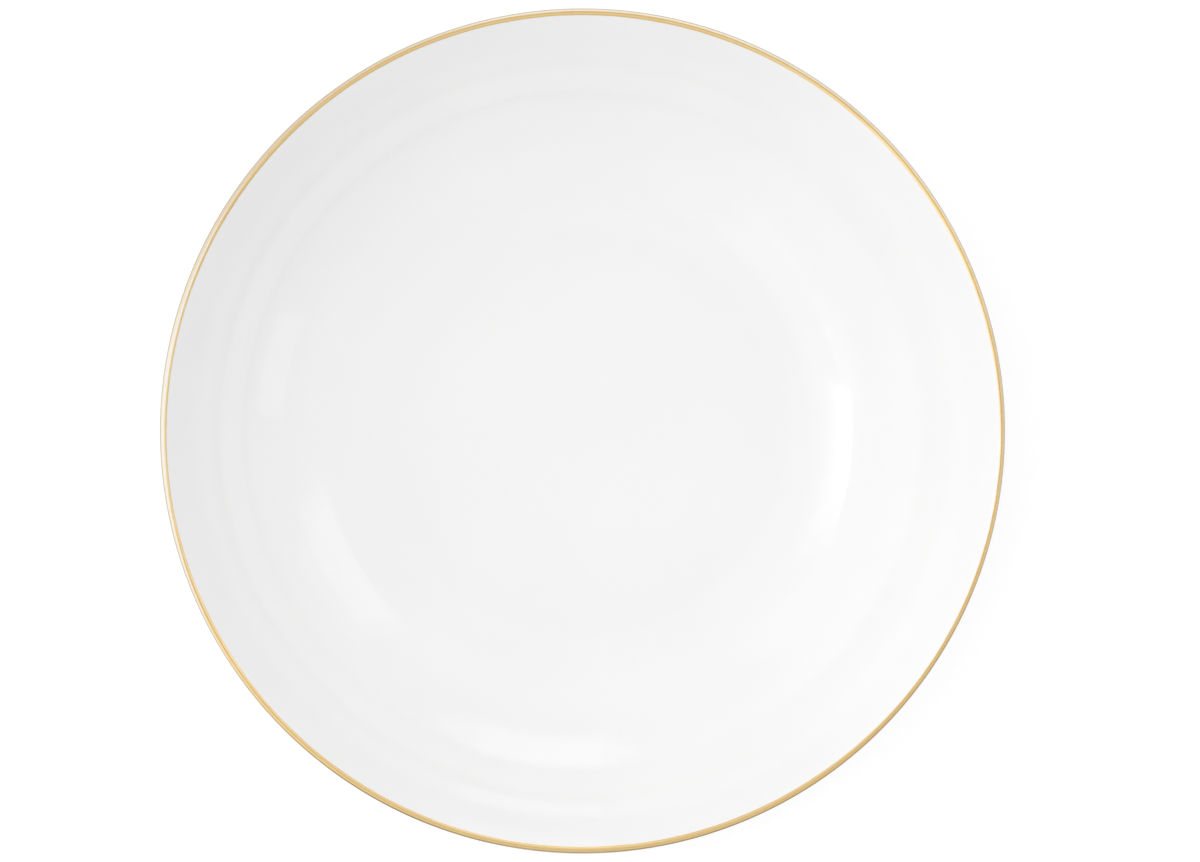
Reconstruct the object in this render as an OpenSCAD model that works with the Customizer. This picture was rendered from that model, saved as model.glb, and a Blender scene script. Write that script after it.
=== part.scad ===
// Low porcelain serving bowl with a gilded lip, standing on a foot ring.
// It is turned about Z and stands on Z = 0. Every section is drawn as [radius, height].

/* [Bowl] */
// Diameter over the glaze of the lip
bowl_d = 280; // [240:1:340]
// Height from the table to the top of the lip
bowl_h = 56; // [46:0.5:80]

/* [Inside] */
// Diameter of the floor, where the curve up to the wall starts
floor_d = 126; // [90:1:160]
// Dip of the floor at its centre
floor_dip = 1.2; // [0.4:0.1:2.5]
// Inside radius of the curve between floor and wall
knuckle_r = 74; // [30:1:78]
// Length of wall over which the lip flares outward
flare_l = 10; // [6:1:28]
// Turn of that flare, in degrees
flare_turn = 1; // [0.5:0.5:6]

/* [Thickness] */
// Fired clay under the floor
floor_t = 4.6; // [3.5:0.1:6]
// Run of that thickness past the foot ring, before the wall thins
full_run = 10; // [6:1:20]
// Lip over both coats of glaze
lip_t = 2.4; // [1.8:0.1:3.5]
// Coat of glaze
glaze_t = 0.25; // [0.15:0.05:0.4]

/* [Gold line] */
// Coat of gold over the glaze
gold_t = 0.12; // [0.1:0.01:0.2]
// Gold on the inside, measured over the glaze from the top of the lip
gold_inner_w = 0.9; // [0.3:0.1:4]
// Gold on the outside, measured in the same way
gold_outer_w = 0.5; // [0.3:0.1:4]

/* [Foot ring] */
// Outside diameter of the ring
foot_d = 140; // [100:1:170]
// Width of the ring
foot_w = 5; // [4:0.25:8]
// Height of the clay floor above the table, beside the ring
foot_h = 5.5; // [4.5:0.25:10]
// Rounding of the ring's two lower edges
foot_edge_r = 1.2; // [0.5:0.1:1.8]
// Cove between the ring and the bowl
foot_cove_r = 2; // [1:0.25:2.5]
// Bare clay left below the glaze on the ring's sides
bare_h = 1.6; // [0.6:0.1:2]

/* [Hidden] */
$fn = 180;

// Steps in each arc of a section
arc_n = 16;
// Share of the largest knuckle, or of the longest flare, that fits between floor and lip
fit_share = 0.92;

clay_white = [0.93, 0.92, 0.90];
glaze_white = [0.96, 0.96, 0.96];
gold_yellow = [0.85, 0.69, 0.45];

// Directions at a slope given in degrees from level: along the wall, and out of the bowl through it
function along_wall(slope) = [cos(slope), sin(slope)];
function through_wall(slope) = [sin(slope), -cos(slope)];
function radians(turn) = turn * PI / 180;
function degrees(turn) = turn * 180 / PI;

// Lip: the clay ends in a half round about lip_c
lip_clay_t = lip_t - 2 * glaze_t;
lip_clay_r = lip_clay_t / 2;
lip_c = [bowl_d / 2 - lip_t / 2, bowl_h - gold_t - lip_t / 2];

// Knuckle: an arc tangent to the level of the floor's edge, as large as asked or as fits under the lip
floor_edge = [floor_d / 2, foot_h + floor_t];
run = lip_c[0] - floor_edge[0];
rise = lip_c[1] - floor_edge[1];
knuckle = min(knuckle_r, fit_share * (run * run + rise * rise) / (2 * rise));
knuckle_c = floor_edge + [0, knuckle];

// Floor: an arc about the axis that runs into the knuckle without a corner
dish_r = (floor_edge[0] * floor_edge[0] / floor_dip + 2 * knuckle + floor_dip) / 2;
dish_c = [0, floor_edge[1] - floor_dip + dish_r];
dish_slope = asin(floor_edge[0] / (dish_r - knuckle));

// Wall: the straight stretch tangent to the knuckle and to the flare, which ends at the lip
to_lip = lip_c - knuckle_c;
tangent_l = sqrt(max(0, to_lip * to_lip - knuckle * knuckle));
flare_r = min(flare_l, fit_share * tangent_l) / radians(flare_turn);
wall_slope = atan2(to_lip[1], to_lip[0])
    + asin((knuckle + lip_clay_r + flare_r * (1 - cos(flare_turn))) / norm(to_lip));
lip_slope = wall_slope - flare_turn;
flare_c = lip_c + flare_r * through_wall(lip_slope);

// Stations along the inside of the clay, from the axis to the lip, each [radius, height, slope]
function station(p, slope) = [p[0], p[1], slope];
function step(from, to, i) = from + (to - from) * i / arc_n;
stations = concat(
    [for (i = [0 : arc_n])
        let (u = step(0, dish_slope, i)) station(dish_c + dish_r * through_wall(u), u)],
    [for (i = [1 : arc_n])
        let (u = step(dish_slope, wall_slope, i)) station(knuckle_c + knuckle * through_wall(u), u)],
    [for (i = [0 : arc_n])
        let (u = step(wall_slope, lip_slope, i))
            station(flare_c - (flare_r + lip_clay_r) * through_wall(u), u)]);
last = len(stations) - 1;

// Thickness of the clay, even under the floor and over the foot ring, then thinning to the lip
thin_from = max(floor_edge[0], foot_d / 2 + full_run);
function clay_t(s) =
    let (share = max(0, s[0] - thin_from) / (stations[last][0] - thin_from))
        floor_t + (lip_clay_t - floor_t) * share;

// Lines parallel to the inside (deep is into the bowl) and to the outside (out is away from the clay)
function inside_line(deep) =
    [for (s = stations) [s[0], s[1]] - deep * through_wall(s[2])];
function outside_line(out) =
    [for (s = stations) [s[0], s[1]] + (clay_t(s) + out) * through_wall(s[2])];

// Tools for lines: the place, counted in points, where a line reaches a radius, a point and a stretch
function place_at(line, r) = lookup(r, [for (i = [0 : len(line) - 1]) [line[i][0], i]]);
function point_at(line, k) =
    let (i = min(floor(k), len(line) - 2)) line[i] + (k - i) * (line[i + 1] - line[i]);
function stretch(line, k0, k1) = concat(
    [point_at(line, k0)],
    [for (i = [floor(k0) + 1 : ceil(k1) - 1]) line[i]],
    [point_at(line, k1)]);
function back(line) = [for (i = [len(line) - 1 : -1 : 0]) line[i]];

// Point on an arc about a centre, the arc with both its ends, and the same without them
function on_arc(c, r, turn) = c + r * [cos(turn), sin(turn)];
function arc(c, r, from, to) = [for (i = [0 : arc_n]) on_arc(c, r, step(from, to, i))];
function open_arc(c, r, from, to) = [for (i = [1 : arc_n - 1]) on_arc(c, r, step(from, to, i))];

// Angles on the round of the lip
lip_in = 90 + lip_slope;
lip_top = 90;
lip_out = lip_slope - 90;

clay_in = inside_line(0);
clay_out = outside_line(0);
glaze_in = inside_line(glaze_t);
glaze_out = outside_line(glaze_t);
gold_in = inside_line(glaze_t + gold_t);
gold_out = outside_line(glaze_t + gold_t);
glaze_lip_r = lip_clay_r + glaze_t;
gold_lip_r = glaze_lip_r + gold_t;

// Ends of the gold: on each side it runs over the round of the lip and then, if wider, down the wall
gold_in_wall = max(0, gold_inner_w - glaze_lip_r * radians(lip_in - lip_top));
gold_out_wall = max(0, gold_outer_w - glaze_lip_r * radians(lip_top - lip_out));
gold_in_turn = lip_top + degrees((gold_inner_w - gold_in_wall) / glaze_lip_r);
gold_out_turn = lip_top - degrees((gold_outer_w - gold_out_wall) / glaze_lip_r);
gold_in_place = place_at(glaze_in, glaze_in[last][0] - gold_in_wall * along_wall(lip_slope)[0]);
gold_out_place = place_at(glaze_out, glaze_out[last][0] - gold_out_wall * along_wall(lip_slope)[0]);

// Foot ring: each cove rolls along the bowl until it touches a side of the ring
foot_out_r = foot_d / 2;
foot_in_r = foot_out_r - foot_w;
cove_line = outside_line(foot_cove_r);
cove_out_place = place_at(cove_line, foot_out_r + foot_cove_r);
cove_in_place = place_at(cove_line, foot_in_r - foot_cove_r);
cove_out_c = point_at(cove_line, cove_out_place);
cove_in_c = point_at(cove_line, cove_in_place);
function cove_from(c, k) = let (d = point_at(clay_out, k) - c) atan2(d[1], d[0]);
cove_out_from = cove_from(cove_out_c, cove_out_place);
cove_in_from = cove_from(cove_in_c, cove_in_place);

// Sides of the ring from the bowl down, on the clay and over a coat
function ring_outside(coat) = concat(
    open_arc(cove_out_c, foot_cove_r - coat, cove_out_from, 180),
    [[foot_out_r + coat, cove_out_c[1]]]);
function ring_inside(coat) = concat(
    open_arc(cove_in_c, foot_cove_r - coat, cove_in_from, 0),
    [[foot_in_r - coat, cove_in_c[1]]]);

// Fired clay of the bowl: floor, wall and round lip
module porcelain_body() {
    color(clay_white) rotate_extrude()
        polygon(concat(
            clay_in,
            open_arc(lip_c, lip_clay_r, lip_in, lip_out),
            back(clay_out)));
}

// Ring luted under the bowl, flat where it stands
module foot_ring() {
    color(clay_white) rotate_extrude()
        polygon(concat(
            stretch(clay_out, cove_in_place, cove_out_place),
            ring_outside(0),
            arc([foot_out_r - foot_edge_r, foot_edge_r], foot_edge_r, 0, -90),
            arc([foot_in_r + foot_edge_r, foot_edge_r], foot_edge_r, -90, -180),
            back(ring_inside(0))));
}

// Glaze over the inside, up to the top of the lip
module inner_glaze() {
    color(glaze_white) rotate_extrude()
        polygon(concat(
            clay_in,
            open_arc(lip_c, lip_clay_r, lip_in, lip_top),
            [lip_c + [0, lip_clay_r], lip_c + [0, glaze_lip_r]],
            open_arc(lip_c, glaze_lip_r, lip_top, lip_in),
            back(glaze_in)));
}

// Glaze from the top of the lip down the outside and the outer side of the foot ring
module outer_glaze() {
    color(glaze_white) rotate_extrude()
        polygon(concat(
            [lip_c + [0, glaze_lip_r], lip_c + [0, lip_clay_r]],
            open_arc(lip_c, lip_clay_r, lip_top, lip_out),
            back(stretch(clay_out, cove_out_place, last)),
            ring_outside(0),
            [[foot_out_r, bare_h], [foot_out_r + glaze_t, bare_h]],
            back(ring_outside(glaze_t)),
            stretch(glaze_out, cove_out_place, last),
            open_arc(lip_c, glaze_lip_r, lip_out, lip_top)));
}

// Glaze under the floor and down the inner side of the foot ring
module base_glaze() {
    color(glaze_white) rotate_extrude()
        polygon(concat(
            stretch(clay_out, 0, cove_in_place),
            ring_inside(0),
            [[foot_in_r, bare_h], [foot_in_r - glaze_t, bare_h]],
            back(ring_inside(glaze_t)),
            back(stretch(glaze_out, 0, cove_in_place))));
}

// Ends of the gold at a radius of the lip's round: the stretch on the wall's line, or the point on the round
function gold_in_end(line, r) = gold_in_wall > 0
    ? stretch(line, gold_in_place, last)
    : [on_arc(lip_c, r, gold_in_turn)];
function gold_out_end(line, r) = gold_out_wall > 0
    ? stretch(line, gold_out_place, last)
    : [on_arc(lip_c, r, gold_out_turn)];

// Gold fired over the glaze, round the top of the lip
module gold_rim_band() {
    color(gold_yellow) rotate_extrude()
        polygon(concat(
            gold_in_end(glaze_in, glaze_lip_r),
            open_arc(lip_c, glaze_lip_r, gold_in_turn, gold_out_turn),
            back(gold_out_end(glaze_out, glaze_lip_r)),
            gold_out_end(gold_out, gold_lip_r),
            open_arc(lip_c, gold_lip_r, gold_out_turn, gold_in_turn),
            back(gold_in_end(gold_in, gold_lip_r))));
}

porcelain_body();
foot_ring();
inner_glaze();
outer_glaze();
base_glaze();
gold_rim_band();
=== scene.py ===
import math

import bmesh
import bpy
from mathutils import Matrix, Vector


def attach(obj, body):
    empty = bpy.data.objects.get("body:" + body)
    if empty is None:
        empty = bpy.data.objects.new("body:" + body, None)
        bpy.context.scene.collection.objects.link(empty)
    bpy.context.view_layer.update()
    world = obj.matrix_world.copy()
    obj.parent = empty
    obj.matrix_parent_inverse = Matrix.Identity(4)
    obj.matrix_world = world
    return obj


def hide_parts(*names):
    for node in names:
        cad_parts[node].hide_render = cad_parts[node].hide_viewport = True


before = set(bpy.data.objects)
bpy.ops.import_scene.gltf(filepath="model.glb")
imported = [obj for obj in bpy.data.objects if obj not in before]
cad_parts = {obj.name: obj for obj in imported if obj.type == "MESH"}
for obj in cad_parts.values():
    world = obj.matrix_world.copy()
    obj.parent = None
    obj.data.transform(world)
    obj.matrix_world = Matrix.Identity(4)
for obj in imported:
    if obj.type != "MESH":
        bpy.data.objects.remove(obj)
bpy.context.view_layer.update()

# Sizes of the bowl in millimetres, as in the part's source
MM = 0.001
BOWL_D = 280
BOWL_H = 56
FLOOR_D = 126
FLOOR_DIP = 1.2
KNUCKLE_R = 74
FLARE_L = 10
FLARE_TURN = 1
FLOOR_T = 4.6
FULL_RUN = 10
LIP_T = 2.4
GLAZE_T = 0.25
GOLD_T = 0.12
GOLD_INNER_W = 0.9
GOLD_OUTER_W = 0.5
FOOT_D = 140
FOOT_W = 5
FOOT_H = 5.5
FOOT_EDGE_R = 1.2
FOOT_COVE_R = 2
BARE_H = 1.6


# Directions in the section, where a point is (radius, height) and a slope is in degrees from level
def along_wall(slope):
    turn = math.radians(slope)
    return Vector((math.cos(turn), math.sin(turn)))


def through_wall(slope):
    turn = math.radians(slope)
    return Vector((math.sin(turn), -math.cos(turn)))


def evenly(first, last, steps):
    return [first + (last - first) * i / steps for i in range(steps + 1)]


def arc(centre, radius, first, last, steps):
    return [centre + radius * along_wall(turn) for turn in evenly(first, last, steps)]


# Lip, knuckle, floor and flare of the clay, found as in the part's source
LIP_CLAY_T = LIP_T - 2 * GLAZE_T
LIP_CLAY_R = LIP_CLAY_T / 2
LIP_GLAZE_R = LIP_CLAY_R + GLAZE_T
LIP_C = Vector((BOWL_D / 2 - LIP_T / 2, BOWL_H - GOLD_T - LIP_T / 2))
FLOOR_EDGE = Vector((FLOOR_D / 2, FOOT_H + FLOOR_T))
KNUCKLE_C = FLOOR_EDGE + Vector((0, KNUCKLE_R))
DISH_R = (FLOOR_EDGE.x ** 2 / FLOOR_DIP + 2 * KNUCKLE_R + FLOOR_DIP) / 2
DISH_C = Vector((0, FLOOR_EDGE.y - FLOOR_DIP + DISH_R))
DISH_SLOPE = math.degrees(math.asin(FLOOR_EDGE.x / (DISH_R - KNUCKLE_R)))
FLARE_R = FLARE_L / math.radians(FLARE_TURN)
TO_LIP = LIP_C - KNUCKLE_C
LIP_SIDE = KNUCKLE_R + LIP_CLAY_R + FLARE_R * (1 - math.cos(math.radians(FLARE_TURN)))
WALL_SLOPE = math.degrees(math.atan2(TO_LIP.y, TO_LIP.x) + math.asin(LIP_SIDE / TO_LIP.length))
LIP_SLOPE = WALL_SLOPE - FLARE_TURN
FLARE_C = LIP_C + FLARE_R * through_wall(LIP_SLOPE)
THIN_FROM = max(FLOOR_EDGE.x, FOOT_D / 2 + FULL_RUN)
LIP_IN_R = (LIP_C - LIP_CLAY_R * through_wall(LIP_SLOPE)).x
# Turns about the centre of the lip, level outwards being 0
LIP_IN = 90 + LIP_SLOPE
LIP_TOP = 90
LIP_OUT = LIP_SLOPE - 90


def clay_stations(dish_n, knuckle_n, wall_n, flare_n):
    """Points on the inside of the clay from the axis to the lip, each with its slope."""
    line = [(DISH_C + DISH_R * through_wall(u), u) for u in evenly(0, DISH_SLOPE, dish_n)]
    for u in evenly(DISH_SLOPE, WALL_SLOPE, knuckle_n)[1:]:
        line.append((KNUCKLE_C + KNUCKLE_R * through_wall(u), u))
    low = line[-1][0]
    high = FLARE_C - (FLARE_R + LIP_CLAY_R) * through_wall(WALL_SLOPE)
    line += [(low.lerp(high, i / wall_n), WALL_SLOPE) for i in range(1, wall_n)]
    for u in evenly(WALL_SLOPE, LIP_SLOPE, flare_n):
        line.append((FLARE_C - (FLARE_R + LIP_CLAY_R) * through_wall(u), u))
    return line


def clay_t(radius):
    share = max(0, radius - THIN_FROM) / (LIP_IN_R - THIN_FROM)
    return FLOOR_T + (LIP_CLAY_T - FLOOR_T) * share


def inside_line(stations, depth):
    return [point - depth(point.x) * through_wall(slope) for point, slope in stations]


def outside_line(stations, out):
    return [point + (clay_t(point.x) + out) * through_wall(slope) for point, slope in stations]


# The faint ring that the turning left in the wall, as a swell and a drop of the glaze
RIPPLE = 0.2
RIPPLE_FROM = 114
RIPPLE_AT = 126.9
RIPPLE_W = 2.6


def glaze_depth(radius):
    swell = max(0, radius - RIPPLE_FROM) / (LIP_IN_R - RIPPLE_FROM)
    drop = (1 + math.erf((radius - RIPPLE_AT) / RIPPLE_W)) / 2
    return GLAZE_T + RIPPLE * (swell - drop)


# A section is drawn from point to point in the XZ plane, and then turned about the axis
# Points that are closer than the gap, in millimetres, are joined; flatter edges than the angle look smooth
WELD_GAP = 0.001
SMOOTH_ANGLE = 40


def draw_section(name, points, closed):
    bpy.ops.object.select_all(action="DESELECT")
    bpy.ops.mesh.primitive_plane_add(size=MM, location=(0, 0, 0))
    piece = bpy.context.object
    piece.name = name
    piece.data.name = name
    bpy.ops.object.mode_set(mode="EDIT")
    bpy.ops.mesh.select_all(action="SELECT")
    bpy.ops.mesh.merge(type="CENTER")
    bpy.ops.transform.translate(value=(points[0].x * MM, 0, points[0].y * MM))
    for here, there in zip(points, points[1:]):
        step = (there - here) * MM
        bpy.ops.mesh.extrude_vertices_move(TRANSFORM_OT_translate={"value": (step.x, 0, step.y)})
    if closed:
        section = bmesh.from_edit_mesh(piece.data)
        section.verts.ensure_lookup_table()
        section.verts[0].select = True
        bmesh.update_edit_mesh(piece.data)
        bpy.ops.mesh.edge_face_add()
    return piece


def turn_section(piece, steps):
    bpy.ops.mesh.select_all(action="SELECT")
    bpy.ops.mesh.spin(steps=steps, angle=2 * math.pi, center=(0, 0, 0), axis=(0, 0, 1))
    bpy.ops.mesh.select_all(action="SELECT")
    bpy.ops.mesh.remove_doubles(threshold=WELD_GAP * MM)
    bpy.ops.mesh.normals_make_consistent(inside=False)
    bpy.ops.object.mode_set(mode="OBJECT")
    bpy.ops.object.shade_smooth_by_angle(angle=math.radians(SMOOTH_ANGLE))
    return piece


def seat(piece, node, material):
    piece.data.materials.append(material)
    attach(piece, "root")
    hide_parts(node)


# Shader nodes that the materials and the dome are made of
def start_material(name):
    material = bpy.data.materials.new(name)
    material.use_nodes = True
    tree = material.node_tree
    return material, tree, tree.nodes["Principled BSDF"]


def object_place(tree):
    return tree.nodes.new("ShaderNodeTexCoord").outputs["Object"]


def noise_node(tree, vector, scale, detail, roughness=0.5):
    node = tree.nodes.new("ShaderNodeTexNoise")
    node.inputs["Scale"].default_value = scale
    node.inputs["Detail"].default_value = detail
    node.inputs["Roughness"].default_value = roughness
    tree.links.new(vector, node.inputs["Vector"])
    return node.outputs["Fac"]


def range_node(tree, value, low, high, to_low, to_high):
    """The range from low to high spread over another one, and held at its ends."""
    node = tree.nodes.new("ShaderNodeMapRange")
    for socket, number in zip(node.inputs[1:5], (low, high, to_low, to_high)):
        socket.default_value = number
    tree.links.new(value, node.inputs["Value"])
    return node.outputs["Result"]


def math_node(tree, operation, *values):
    node = tree.nodes.new("ShaderNodeMath")
    node.operation = operation
    for socket, value in zip(node.inputs, values):
        if isinstance(value, (int, float)):
            socket.default_value = value
        else:
            tree.links.new(value, socket)
    return node.outputs["Value"]


def split_node(tree, vector):
    node = tree.nodes.new("ShaderNodeSeparateXYZ")
    tree.links.new(vector, node.inputs["Vector"])
    return node.outputs["X"], node.outputs["Y"], node.outputs["Z"]


def mix_colours(tree, share, first, second):
    node = tree.nodes.new("ShaderNodeMix")
    node.data_type = "RGBA"
    tree.links.new(share, node.inputs[0])
    for socket, colour in ((node.inputs[6], first), (node.inputs[7], second)):
        if isinstance(colour, tuple):
            socket.default_value = (*colour, 1)
        else:
            tree.links.new(colour, socket)
    return node.outputs[2]


def bump_node(tree, height, strength, distance):
    node = tree.nodes.new("ShaderNodeBump")
    node.inputs["Strength"].default_value = strength
    node.inputs["Distance"].default_value = distance
    tree.links.new(height, node.inputs["Height"])
    return node.outputs["Normal"]


def ramp_node(tree, value, stops):
    node = tree.nodes.new("ShaderNodeValToRGB")
    ramp = node.color_ramp
    while len(ramp.elements) < len(stops):
        ramp.elements.new(0.5)
    for element, (place, level) in zip(ramp.elements, stops):
        element.position = place
        element.color = (level, level, level, 1)
    tree.links.new(value, node.inputs["Fac"])
    return node.outputs["Color"]


def lip_nodes(tree, place):
    """Unit vector from the axis, as x and y, and the turn about the centre of the lip."""
    x, y, z = split_node(tree, place)
    x_square = math_node(tree, "MULTIPLY", x, x)
    y_square = math_node(tree, "MULTIPLY", y, y)
    radius = math_node(tree, "SQRT", math_node(tree, "ADD", x_square, y_square))
    over = math_node(tree, "SUBTRACT", z, LIP_C.y * MM)
    out = math_node(tree, "SUBTRACT", radius, LIP_C.x * MM)
    turn = math_node(tree, "ARCTAN2", over, out)
    return math_node(tree, "DIVIDE", x, radius), math_node(tree, "DIVIDE", y, radius), turn


def lip_fade(tree, turn, none, full):
    """0 at one turn about the centre of the lip, 1 at another."""
    return range_node(tree, turn, math.radians(none), math.radians(full), 0, 1)


def toward(tree, x, y, azimuth, reach):
    """1 on the side of the bowl at an azimuth, falling to 0 at an angle to either side of it."""
    side = math_node(tree, "MULTIPLY", x, math.cos(math.radians(azimuth)))
    side = math_node(tree, "MULTIPLY_ADD", y, math.sin(math.radians(azimuth)), side)
    return range_node(tree, side, math.cos(math.radians(reach)), 1, 0, 1)


# Tones of the glaze, of the veil on it with its painted shade, of the bare clay, and of the gold with
# painted shade on its outer edge
GLAZE_TONES = ((0.877, 0.877, 0.876), (0.890, 0.890, 0.888))
SPECK_TONE = (0.78, 0.77, 0.74)
# Tones of the veil: its cream tone and a darker tone painted as shade on one side, then the painted shade
# lower down
VEIL_AND_SHADE_TONES = ((0.86, 0.80, 0.67), (0.68, 0.56, 0.39))
VEIL_LOW_SHADE_TONE = (0.46, 0.35, 0.22)
CLAY_TONES = ((0.81, 0.80, 0.77), (0.72, 0.70, 0.66))
GRAIN_TONE = (0.62, 0.60, 0.56)
GOLD_TONES = ((0.85, 0.62, 0.29), (0.75, 0.52, 0.23))
GOLD_PALE_TONE = (0.89, 0.69, 0.41)
# Painted shade on the gold's outer edge: the tone all round, and the darker tone on the shaded side
GOLD_EDGE_SHADE_TONES = ((0.48, 0.31, 0.13), (0.20, 0.125, 0.055))
# Index of refraction of the glaze
GLAZE_IOR = 1.5
# Azimuths where painted shade makes the veil and the gold's outer edge darkest, and how far that spreads
VEIL_SHADED_SIDE = (135, 35)
GOLD_EDGE_SHADED_SIDE = (248, 60)
# Turns about the centre of the lip over which painted shade browns the veil, the veil fades in, and painted
# shade darkens the gold's edge
VEIL_LOW_SHADE = (64, 28)
VEIL_FADE = (0, 24)
GOLD_EDGE_SHADE_TURNS = (76, 46)
# How far past the top of the lip the veil ends
VEIL_PAST_TOP = 5
# How fast the gold's brush lines change over the lip, against round the bowl
STROKE_SHARE = 0.9


def lip_veil_and_shade(tree, place, tone):
    """Thin cream veil on the outer round of the lip, with painted shade: browner lower down where the lip
    turns away, and darker on one side of the bowl.
    """
    x, y, turn = lip_nodes(tree, place)
    veil_and_shade = mix_colours(tree, toward(tree, x, y, *VEIL_SHADED_SIDE), *VEIL_AND_SHADE_TONES)
    veil_and_shade = mix_colours(tree, lip_fade(tree, turn, *VEIL_LOW_SHADE), veil_and_shade, VEIL_LOW_SHADE_TONE)
    fade = lip_fade(tree, turn, *VEIL_FADE)
    outer = math_node(tree, "LESS_THAN", turn, math.radians(LIP_TOP + VEIL_PAST_TOP))
    return mix_colours(tree, math_node(tree, "MULTIPLY", fade, outer), tone, veil_and_shade)


def white_glaze():
    """Clear gloss over white clay, with clouds of tone, rare pin specks and a lazy wave in it."""
    material, tree, shader = start_material("white glaze")
    place = object_place(tree)
    clouds = noise_node(tree, place, scale=22, detail=3)
    tone = mix_colours(tree, range_node(tree, clouds, 0.3, 0.7, 0, 1), *GLAZE_TONES)
    specks = noise_node(tree, place, scale=900, detail=1)
    tone = mix_colours(tree, range_node(tree, specks, 0.80, 0.84, 0, 0.5), tone, SPECK_TONE)
    # The outer round of the lip gets a cream veil with painted shade on it
    tree.links.new(lip_veil_and_shade(tree, place, tone), shader.inputs["Base Color"])
    gloss = noise_node(tree, place, scale=60, detail=2)
    tree.links.new(range_node(tree, gloss, 0.3, 0.7, 0.035, 0.06), shader.inputs["Roughness"])
    wave = noise_node(tree, place, scale=35, detail=1)
    tree.links.new(bump_node(tree, wave, strength=0.03, distance=0.001), shader.inputs["Normal"])
    shader.inputs["IOR"].default_value = GLAZE_IOR
    return material


def bare_porcelain():
    """Fired clay without glaze: matt, with a fine grain and faint grey rub marks."""
    material, tree, shader = start_material("bare porcelain")
    place = object_place(tree)
    rubs = noise_node(tree, place, scale=140, detail=4, roughness=0.6)
    tone = mix_colours(tree, range_node(tree, rubs, 0.52, 0.7, 0, 1), *CLAY_TONES)
    grain = noise_node(tree, place, scale=2600, detail=2)
    tone = mix_colours(tree, range_node(tree, grain, 0.62, 0.8, 0, 0.5), tone, GRAIN_TONE)
    tree.links.new(tone, shader.inputs["Base Color"])
    tree.links.new(range_node(tree, grain, 0.3, 0.7, 0.62, 0.82), shader.inputs["Roughness"])
    tree.links.new(bump_node(tree, grain, strength=0.25, distance=0.0002), shader.inputs["Normal"])
    return material


def burnished_gold():
    """Gilding in fine brush lines round the lip, with painted shade darkening its outer edge, most on one
    side of the bowl.
    """
    material, tree, shader = start_material("burnished gold")
    place = object_place(tree)
    x, y, turn = lip_nodes(tree, place)
    lines = tree.nodes.new("ShaderNodeCombineXYZ")
    tree.links.new(x, lines.inputs["X"])
    tree.links.new(y, lines.inputs["Y"])
    tree.links.new(math_node(tree, "MULTIPLY", turn, STROKE_SHARE), lines.inputs["Z"])
    strokes = noise_node(tree, lines.outputs["Vector"], scale=14, detail=3, roughness=0.6)
    tone = mix_colours(tree, range_node(tree, strokes, 0.35, 0.75, 0, 0.4), *GOLD_TONES)
    clouds = noise_node(tree, place, scale=60, detail=3)
    tone = mix_colours(tree, range_node(tree, clouds, 0.5, 0.75, 0, 0.4), tone, GOLD_PALE_TONE)
    # Painted shade: the gold darkens towards its outer edge, and is darkest on one side of the bowl
    edge_shade = mix_colours(tree, toward(tree, x, y, *GOLD_EDGE_SHADED_SIDE), *GOLD_EDGE_SHADE_TONES)
    tone = mix_colours(tree, lip_fade(tree, turn, *GOLD_EDGE_SHADE_TURNS), tone, edge_shade)
    tree.links.new(tone, shader.inputs["Base Color"])
    shader.inputs["Metallic"].default_value = 1
    tree.links.new(range_node(tree, strokes, 0.3, 0.7, 0.25, 0.34), shader.inputs["Roughness"])
    tree.links.new(bump_node(tree, strokes, strength=0.15, distance=0.0002), shader.inputs["Normal"])
    return material


GLAZE = white_glaze()
CLAY = bare_porcelain()
GOLD = burnished_gold()
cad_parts["porcelain_body"].data.materials.clear()
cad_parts["porcelain_body"].data.materials.append(CLAY)


# Steps round the axis: the inside, the pieces that the photo doesn't show, and the gold
INSIDE_TURN_N = 288
OUTSIDE_TURN_N = 256
GOLD_TURN_N = 720


# Glaze over the inside: the coat's back on the clay, the lip, and the coat's face back to the axis
def make_inner_glaze():
    back_stations = clay_stations(dish_n=6, knuckle_n=24, wall_n=6, flare_n=6)
    face_stations = clay_stations(dish_n=20, knuckle_n=64, wall_n=40, flare_n=24)
    back = inside_line(back_stations, lambda radius: 0)
    back += arc(LIP_C, LIP_CLAY_R, LIP_IN, LIP_TOP, steps=6)[1:]
    face = arc(LIP_C, LIP_GLAZE_R, LIP_TOP, LIP_IN, steps=10)[:-1]
    face += inside_line(face_stations, glaze_depth)[::-1]
    piece = turn_section(draw_section("inside_glaze", back + face, closed=False), INSIDE_TURN_N)
    seat(piece, "inner_glaze", GLAZE)


# Centre of a cove that touches the underside of the bowl, at a given radius, and the slope there
def cove_at(radius):
    reach = FLOOR_T + FOOT_COVE_R
    slope = math.degrees(math.asin(radius / (DISH_R + reach)))
    if slope <= DISH_SLOPE:
        return DISH_C + (DISH_R + reach) * through_wall(slope), slope
    slope = math.degrees(math.asin((radius - KNUCKLE_C.x) / (KNUCKLE_R + reach)))
    return KNUCKLE_C + (KNUCKLE_R + reach) * through_wall(slope), slope


FOOT_OUT_R = FOOT_D / 2
FOOT_IN_R = FOOT_OUT_R - FOOT_W
COVE_OUT_C, COVE_OUT_SLOPE = cove_at(FOOT_OUT_R + FOOT_COVE_R)
COVE_IN_C, COVE_IN_SLOPE = cove_at(FOOT_IN_R - FOOT_COVE_R)
COVE_N = 10
FOOT_EDGE_N = 8

# The glaze ends above the foot's face in a small rolled bead
BEAD_H = 0.5
BEAD_SWELL = 0.55
BEAD_RUN = 0.6
# Its end was wiped by hand, so it rises and falls round the ring: waves in a turn, height, phase
WIPE_WAVES = ((3, 0.10, 0.7), (8, 0.07, 2.1), (19, 0.04, 0))
WIPE_H = 1.2
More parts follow.
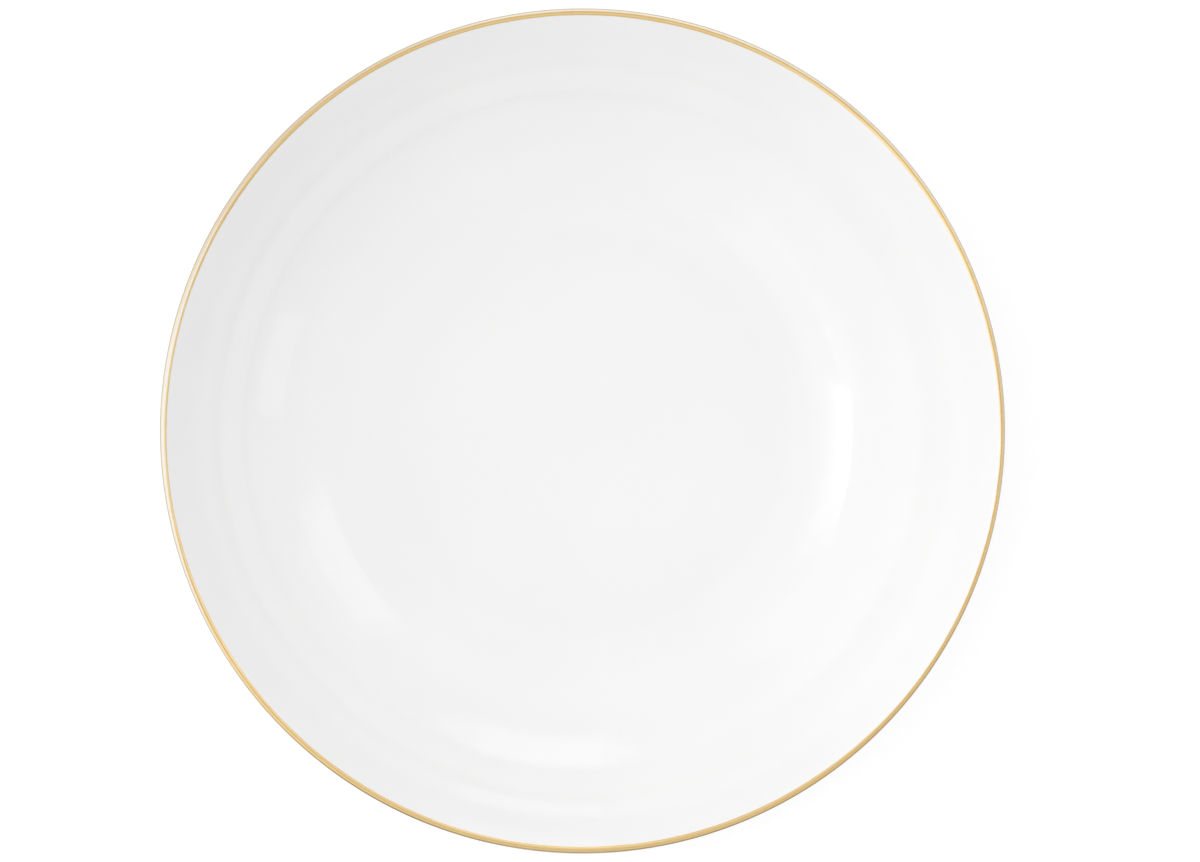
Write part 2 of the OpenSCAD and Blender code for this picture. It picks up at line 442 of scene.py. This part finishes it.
# How far off the clay's side, into the clay and out of it, a point still belongs to that end
WIPE_SLACK = 0.1
WIPE_REACH = 1


def wave_sum(turn, waves):
    return sum(height * math.sin(count * turn + phase) for count, height, phase in waves)


def bead_coat(height):
    """Thickness of the coat on a side of the foot ring, at a height above its end."""
    swell = 1 + BEAD_SWELL * math.exp(-((height - BEAD_H) / BEAD_RUN) ** 2)
    rolled = max(0, 1 - height / BEAD_H)
    return GLAZE_T * swell * math.sqrt(1 - rolled * rolled)


def bead_heights(top):
    return evenly(0, BEAD_H, steps=6) + evenly(BEAD_H, top - BARE_H, steps=8)[1:-1]


def wave_end(piece, near, far):
    for vertex in piece.data.vertices:
        radius = math.hypot(vertex.co.x, vertex.co.y) / MM
        height = vertex.co.z / MM - BARE_H
        if near < radius < far and height < WIPE_H:
            wave = wave_sum(math.atan2(vertex.co.y, vertex.co.x), WIPE_WAVES)
            vertex.co.z += wave * (1 - height / WIPE_H) * MM


# Glaze from the top of the lip down the outside and the outer side of the foot ring
def make_outer_glaze():
    stations = clay_stations(dish_n=2, knuckle_n=40, wall_n=8, flare_n=12)
    stations = [s for s in stations if s[1] > COVE_OUT_SLOPE and s[0].x > FOOT_OUT_R]
    heights = bead_heights(COVE_OUT_C.y)
    back = arc(LIP_C, LIP_CLAY_R, LIP_TOP, LIP_OUT, steps=10)[:-1]
    back += outside_line(stations, 0)[::-1]
    back += arc(COVE_OUT_C, FOOT_COVE_R, 90 + COVE_OUT_SLOPE, 180, COVE_N)
    back += [Vector((FOOT_OUT_R, BARE_H))]
    face = [Vector((FOOT_OUT_R + bead_coat(h), BARE_H + h)) for h in heights][1:]
    face += arc(COVE_OUT_C, FOOT_COVE_R - GLAZE_T, 180, 90 + COVE_OUT_SLOPE, COVE_N)
    face += outside_line(stations, GLAZE_T)
    face += arc(LIP_C, LIP_GLAZE_R, LIP_OUT, LIP_TOP, steps=14)[1:]
    piece = turn_section(draw_section("outside_glaze", back + face, closed=True), OUTSIDE_TURN_N)
    wave_end(piece, FOOT_OUT_R - WIPE_SLACK, FOOT_OUT_R + WIPE_REACH)
    seat(piece, "outer_glaze", GLAZE)


# Glaze under the floor and down the inner side of the foot ring
def make_base_glaze():
    slopes = evenly(0, COVE_IN_SLOPE, steps=16)
    heights = bead_heights(COVE_IN_C.y)
    back = [DISH_C + (DISH_R + FLOOR_T) * through_wall(u) for u in slopes]
    back += arc(COVE_IN_C, FOOT_COVE_R, 90 + COVE_IN_SLOPE, 0, COVE_N)[1:]
    back += [Vector((FOOT_IN_R, BARE_H))]
    face = [Vector((FOOT_IN_R - bead_coat(h), BARE_H + h)) for h in heights][1:]
    face += arc(COVE_IN_C, FOOT_COVE_R - GLAZE_T, 0, 90 + COVE_IN_SLOPE, COVE_N)
    face += [DISH_C + (DISH_R + FLOOR_T + GLAZE_T) * through_wall(u) for u in slopes[-2::-1]]
    piece = turn_section(draw_section("underside_glaze", back + face, closed=False), OUTSIDE_TURN_N)
    wave_end(piece, FOOT_IN_R - WIPE_REACH, FOOT_IN_R + WIPE_SLACK)
    seat(piece, "base_glaze", GLAZE)


# Foot ring of bare clay, ground flat where it stands
def make_foot_ring():
    slopes = evenly(DISH_SLOPE, COVE_OUT_SLOPE, steps=6)
    edge_out_c = Vector((FOOT_OUT_R - FOOT_EDGE_R, FOOT_EDGE_R))
    edge_in_c = Vector((FOOT_IN_R + FOOT_EDGE_R, FOOT_EDGE_R))
    outline = [DISH_C + (DISH_R + FLOOR_T) * through_wall(COVE_IN_SLOPE)]
    outline += [KNUCKLE_C + (KNUCKLE_R + FLOOR_T) * through_wall(u) for u in slopes]
    outline += arc(COVE_OUT_C, FOOT_COVE_R, 90 + COVE_OUT_SLOPE, 180, COVE_N)[1:]
    outline += arc(edge_out_c, FOOT_EDGE_R, 0, -90, FOOT_EDGE_N)
    outline += arc(edge_in_c, FOOT_EDGE_R, -90, -180, FOOT_EDGE_N)
    outline += arc(COVE_IN_C, FOOT_COVE_R, 0, 90 + COVE_IN_SLOPE, COVE_N)[:-1]
    piece = turn_section(draw_section("bare_foot_ring", outline, closed=True), OUTSIDE_TURN_N)
    seat(piece, "foot_ring", CLAY)


# Gold over the top of the lip, brushed by hand on a wheel: it runs off centre and its edges wander
# Its thickness at an edge, and one and two steps in
GOLD_EDGE_T = (0.02, 0.07, 0.11)
GOLD_HALF_N = 14
# How much further than the plain band the brush laps down the inside
GOLD_LAP = 0.15
# Slow drift of each edge: swings in a turn of the wheel, how far in millimetres, where it is widest
INNER_DRIFT = ((1, 0.33, 154), (2, 0.21, 92), (3, 0.14, 42))
OUTER_DRIFT = ((1, 0.67, 310), (2, 0.25, 86), (3, 0.18, 105), (4, 0.15, 41))
# Finer straying of both edges from the drift: waves in a turn, how far in millimetres, phase
WANDER = ((5, 0.035, 1.3), (11, 0.03, 0), (37, 0.02, 0.4), (83, 0.015, 0), (149, 0.012, 2))
OUTER_PHASE = 1


def edge_drift(turn, swings):
    return sum(reach * math.cos(count * (turn - math.radians(widest))) for count, reach, widest in swings)


def over_lip(way, coat):
    """Point at a way over the glaze from the top of the lip, inwards if positive, and at a height on it."""
    round_way = min(way, LIP_GLAZE_R * math.radians(LIP_SLOPE))
    turn = LIP_TOP + math.degrees(round_way / LIP_GLAZE_R)
    return LIP_C + (LIP_GLAZE_R + coat) * along_wall(turn) - (way - round_way) * along_wall(LIP_SLOPE)


def make_gold_band():
    ways = evenly(GOLD_INNER_W, 0, GOLD_HALF_N) + evenly(0, -GOLD_OUTER_W, GOLD_HALF_N)[1:]
    plain = [GOLD_T] * (len(ways) - 2 * len(GOLD_EDGE_T))
    coats = [*GOLD_EDGE_T, *plain, *reversed(GOLD_EDGE_T)]
    back = [over_lip(way, 0) for way in ways]
    face = [over_lip(way, coat) for way, coat in zip(ways, coats)]
    piece = turn_section(draw_section("gold_lip_line", back + face[::-1], closed=True), GOLD_TURN_N)
    for vertex in piece.data.vertices:
        turn = math.atan2(vertex.co.y, vertex.co.x)
        place = Vector((math.hypot(vertex.co.x, vertex.co.y), vertex.co.z)) / MM - LIP_C
        way = LIP_GLAZE_R * (math.atan2(place.y, place.x) - math.radians(LIP_TOP))
        share = (GOLD_INNER_W - way) / (GOLD_INNER_W + GOLD_OUTER_W)
        inner = GOLD_INNER_W + GOLD_LAP + edge_drift(turn, INNER_DRIFT) + wave_sum(turn, WANDER)
        outer = GOLD_OUTER_W + edge_drift(turn, OUTER_DRIFT) + wave_sum(turn + OUTER_PHASE, WANDER)
        way = inner - share * (inner + outer)
        place = over_lip(way, place.length - LIP_GLAZE_R)
        vertex.co = (place.x * math.cos(turn) * MM, place.x * math.sin(turn) * MM, place.y * MM)
    seat(piece, "gold_rim_band", GOLD)


make_inner_glaze()
make_outer_glaze()
make_base_glaze()
make_foot_ring()
make_gold_band()


# Table top: pale and matt, white as the camera and the gloss see it, with the shadow of the bowl kept
TABLE_R = 12
TABLE_N = 96
TABLE_TONE = 0.60
TABLE_GLOW = 0.50


def make_floor():
    bpy.ops.object.select_all(action="DESELECT")
    bpy.ops.mesh.primitive_circle_add(vertices=TABLE_N, radius=TABLE_R, fill_type="NGON", location=(0, 0, 0))
    floor = bpy.context.object
    floor.name = "floor"
    material, tree, shader = start_material("white floor")
    tree.nodes.remove(shader)
    path = tree.nodes.new("ShaderNodeLightPath")
    seen = math_node(tree, "MAXIMUM", path.outputs["Is Camera Ray"], path.outputs["Is Glossy Ray"])
    seen = math_node(tree, "MAXIMUM", seen, path.outputs["Is Transmission Ray"])
    matt = tree.nodes.new("ShaderNodeBsdfDiffuse")
    matt.inputs["Color"].default_value = (TABLE_TONE, TABLE_TONE, TABLE_TONE, 1)
    glow = tree.nodes.new("ShaderNodeEmission")
    glow.inputs["Strength"].default_value = TABLE_GLOW
    both = tree.nodes.new("ShaderNodeAddShader")
    tree.links.new(matt.outputs[0], both.inputs[0])
    tree.links.new(glow.outputs[0], both.inputs[1])
    pick = tree.nodes.new("ShaderNodeMixShader")
    tree.links.new(seen, pick.inputs[0])
    tree.links.new(matt.outputs[0], pick.inputs[1])
    tree.links.new(both.outputs[0], pick.inputs[2])
    tree.links.new(pick.outputs[0], tree.nodes["Material Output"].inputs["Surface"])
    floor.data.materials.append(material)


# Light: a soft white dome that is dimmer low down and leans a little to the left and to the top
# Its stops: sine of the elevation, brightness, lean to the left, lean to the top of the picture
DOME = (
    (0.00, 0.44, 0.22, 0.03),
    (0.07, 0.40, 0.19, 0.04),
    (0.14, 0.74, 0.19, 0.16),
    (0.21, 0.89, 0.07, 0.09),
    (0.36, 0.93, 0.02, 0.00),
    (0.53, 0.86, 0.00, 0.00),
    (0.72, 1.08, 0.01, 0.02),
    (0.87, 0.90, 0.12, 0.01),
    (0.93, 0.77, 0.02, 0.00),
    (0.985, 0.75, 0.00, 0.00),
    (0.995, 0.49, 0.00, 0.00),
)
# Azimuths that the two leans point to
DOME_LEFT = 168
DOME_TOP = 78
# Wide softbox on the left: azimuth of its middle, where its sides start and stop fading, upper edge
SOFTBOX_LEVEL = 0.35
SOFTBOX_AT = 184
SOFTBOX_SIDES = (46, 58)
SOFTBOX_UPPER = (48, 52)


def make_dome():
    world = bpy.data.worlds.new("soft white dome")
    bpy.context.scene.world = world
    world.use_nodes = True
    tree = world.node_tree
    x, y, z = split_node(tree, tree.nodes.new("ShaderNodeTexCoord").outputs["Generated"])
    azimuth = math_node(tree, "ARCTAN2", y, x)

    def facing(side):
        return math_node(tree, "COSINE", math_node(tree, "SUBTRACT", azimuth, math.radians(side)))

    total = ramp_node(tree, z, [stop[:2] for stop in DOME])
    for column, side in ((2, DOME_LEFT), (3, DOME_TOP)):
        lean = ramp_node(tree, z, [(stop[0], stop[column]) for stop in DOME])
        total = math_node(tree, "MULTIPLY_ADD", lean, facing(side), total)
    full, gone = (math.cos(math.radians(angle)) for angle in SOFTBOX_SIDES)
    wide = range_node(tree, facing(SOFTBOX_AT), gone, full, 0, SOFTBOX_LEVEL)
    full, gone = (math.sin(math.radians(angle)) for angle in SOFTBOX_UPPER)
    tall = range_node(tree, z, gone, full, 0, 1)
    total = math_node(tree, "MULTIPLY_ADD", wide, tall, total)
    back = tree.nodes["Background"]
    back.inputs["Color"].default_value = (1, 1, 1, 1)
    tree.links.new(total, back.inputs["Strength"])


# Panels round the table: a brightness, and sheets that lie over one another so that edges fade
# A sheet is given as it is seen from the bowl: azimuth from and to, elevation from and to
PANELS = (
    ("left lamp", 0.55, ((152, 190, 51, 64), (158, 190, 51, 61), (164, 190, 51, 58))),
    ("far left lamp", 0.22, ((186, 210, 43, 55), (186, 203, 46, 55))),
    ("left glow", 0.24, ((158, 240, 50, 74), (166, 232, 53, 70))),
    ("top panel", 0.47, ((64, 100, 16, 24), (67, 97, 12, 28), (71, 94, 8, 31))),
    ("right panel", 0.52, ((13, 43, 37, 56),)),
    ("low right panel", 0.30, ((19, 46, 27, 56),)),
    ("small right panel", 0.58, ((338, 357, 18, 34),)),
)
PANEL_REACH = 1.3


def make_sheet(name, brightness, sheet):
    first, last, low, high = sheet
    turn = math.radians((first + last) / 2)
    lift = math.radians((low + high) / 2)
    wide = math.radians(last - first) * math.cos(lift)
    tall = math.radians(high - low)
    way = Vector((math.cos(lift) * math.cos(turn), math.cos(lift) * math.sin(turn), math.sin(lift)))
    bpy.ops.object.select_all(action="DESELECT")
    bpy.ops.object.light_add(type="AREA", location=way * PANEL_REACH)
    lamp = bpy.context.object
    lamp.name = name
    lamp.rotation_euler = (-way).to_track_quat("-Z", "Y").to_euler()
    lamp.data.shape = "RECTANGLE"
    lamp.data.size = 2 * PANEL_REACH * math.tan(wide / 2)
    lamp.data.size_y = 2 * PANEL_REACH * math.tan(tall / 2)
    lamp.data.energy = brightness * math.pi * lamp.data.size * lamp.data.size_y
    lamp.visible_camera = False


make_floor()
make_dome()
for panel, brightness, sheets in PANELS:
    for number, sheet in enumerate(sheets, 1):
        make_sheet(panel + " " + str(number), brightness, sheet)

# Camera straight above, a little to the right of the axis, with the top of the picture towards +Y
CAMERA_AT = (0.0058, 0, 1.159)
CAMERA_SENSOR = 36
CAMERA_LENS = 100
bpy.ops.object.camera_add(location=CAMERA_AT, rotation=(0, 0, 0))
camera = bpy.context.object
camera.data.sensor_width = CAMERA_SENSOR
camera.data.lens = CAMERA_LENS
bpy.context.scene.camera = camera
bpy.context.scene.view_settings.view_transform = "Standard"
